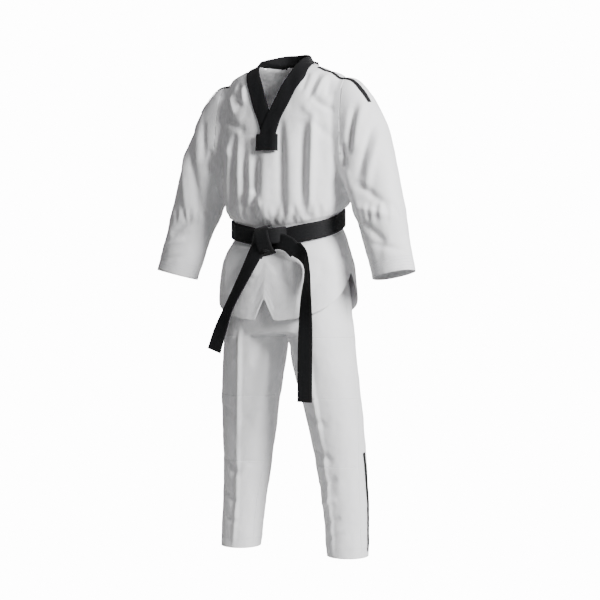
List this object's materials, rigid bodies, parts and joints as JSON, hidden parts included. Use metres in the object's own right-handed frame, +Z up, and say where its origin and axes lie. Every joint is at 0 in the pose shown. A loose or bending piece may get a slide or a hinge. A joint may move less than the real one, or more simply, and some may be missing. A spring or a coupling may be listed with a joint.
{
  "type": "martial arts uniform",
  "caption": "V-neck martial arts jacket, trousers and tied belt in worn shape, with lifting sleeves, spreading legs, free skirt flaps and swinging belt ends.",
  "frame": {"origin": "middle of the shoulder line at the base of the neck, where the wearer's shoulders or a hanger carry the jacket", "axes": "+Z up along the body, front faces -Y, the wearer's left is +X"},
  "size_m": [0.804, 0.2828, 1.398],
  "materials": {
    "white_cloth": "matt ribbed cotton and polyester weave",
    "black_trim": "matt stitched cotton",
    "black_belt": "satin stitched cotton",
    "black_tape": "flat woven tape",
    "interlining": "stiff plain weave",
    "elastic": "covered rubber, woven"
  },
  "bodies": {
    "torso": {"jacket_front": "white_cloth", "jacket_back": "white_cloth", "collar_left_band": "black_trim", "collar_right_band": "black_trim", "collar_back_band": "black_trim", "collar_left_interlining": "interlining", "collar_right_interlining": "interlining", "collar_back_interlining": "interlining", "collar_tab": "black_trim", "hanger_loop": "black_trim", "left_shoulder_tape": "black_tape", "right_shoulder_tape": "black_tape", "belt_inner_wrap": "black_belt", "belt_outer_wrap": "black_belt", "belt_knot": "black_belt", "trouser_front": "white_cloth", "trouser_back": "white_cloth", "crotch_gusset": "white_cloth", "waistband": "white_cloth", "waist_elastic": "elastic"},
    "left_arm": {"left_sleeve": "white_cloth", "left_cuff_facing": "white_cloth", "left_sleeve_tape": "black_tape"},
    "left_leg": {"left_leg_back": "white_cloth", "left_thigh_panel": "white_cloth", "left_knee_panel": "white_cloth", "left_shin_panel": "white_cloth", "left_leg_facing": "white_cloth", "left_leg_tape": "black_tape"},
    "left_tail": {"left_belt_tail": "black_belt"},
    "right_arm": {"right_sleeve": "white_cloth", "right_cuff_facing": "white_cloth", "right_sleeve_tape": "black_tape"},
    "right_leg": {"right_leg_back": "white_cloth", "right_thigh_panel": "white_cloth", "right_knee_panel": "white_cloth", "right_shin_panel": "white_cloth", "right_leg_facing": "white_cloth", "right_leg_tape": "black_tape"},
    "right_tail": {"right_belt_tail": "black_belt"},
    "front_flap": {"front_skirt": "white_cloth", "front_skirt_facing": "white_cloth"},
    "back_flap": {"back_skirt": "white_cloth", "back_skirt_facing": "white_cloth"}
  },
  "joints": [
    {"name": "left_sleeve_lift", "type": "hinge", "parent": "torso", "child": "left_arm", "pos_m": [0.187, 0, -0.038], "axis": [0, -1, 0], "range_deg": [0, 75]},
    {"name": "left_leg_spread", "type": "hinge", "parent": "torso", "child": "left_leg", "pos_m": [0.1, 0, -0.712], "axis": [0, -1, 0], "range_deg": [0, 30]},
    {"name": "right_sleeve_lift", "type": "hinge", "parent": "torso", "child": "right_arm", "pos_m": [-0.187, 0, -0.038], "axis": [0, 1, 0], "range_deg": [0, 75]},
    {"name": "right_leg_spread", "type": "hinge", "parent": "torso", "child": "right_leg", "pos_m": [-0.1, 0, -0.712], "axis": [0, 1, 0], "range_deg": [0, 30]},
    {"name": "front_skirt_lift", "type": "hinge", "parent": "torso", "child": "front_flap", "pos_m": [0, -0.116, -0.522], "axis": [-1, 0, 0], "range_deg": [0, 40]},
    {"name": "back_skirt_lift", "type": "hinge", "parent": "torso", "child": "back_flap", "pos_m": [0, 0.116, -0.522], "axis": [1, 0, 0], "range_deg": [0, 40]},
    {"name": "left_tail_swing", "type": "hinge", "parent": "front_flap", "child": "left_tail", "pos_m": [0, -0.132, -0.5204], "axis": [-1, 0, 0], "range_deg": [0, 70]},
    {"name": "right_tail_swing", "type": "hinge", "parent": "front_flap", "child": "right_tail", "pos_m": [0, -0.132, -0.5204], "axis": [-1, 0, 0], "range_deg": [0, 70]}
  ]
}
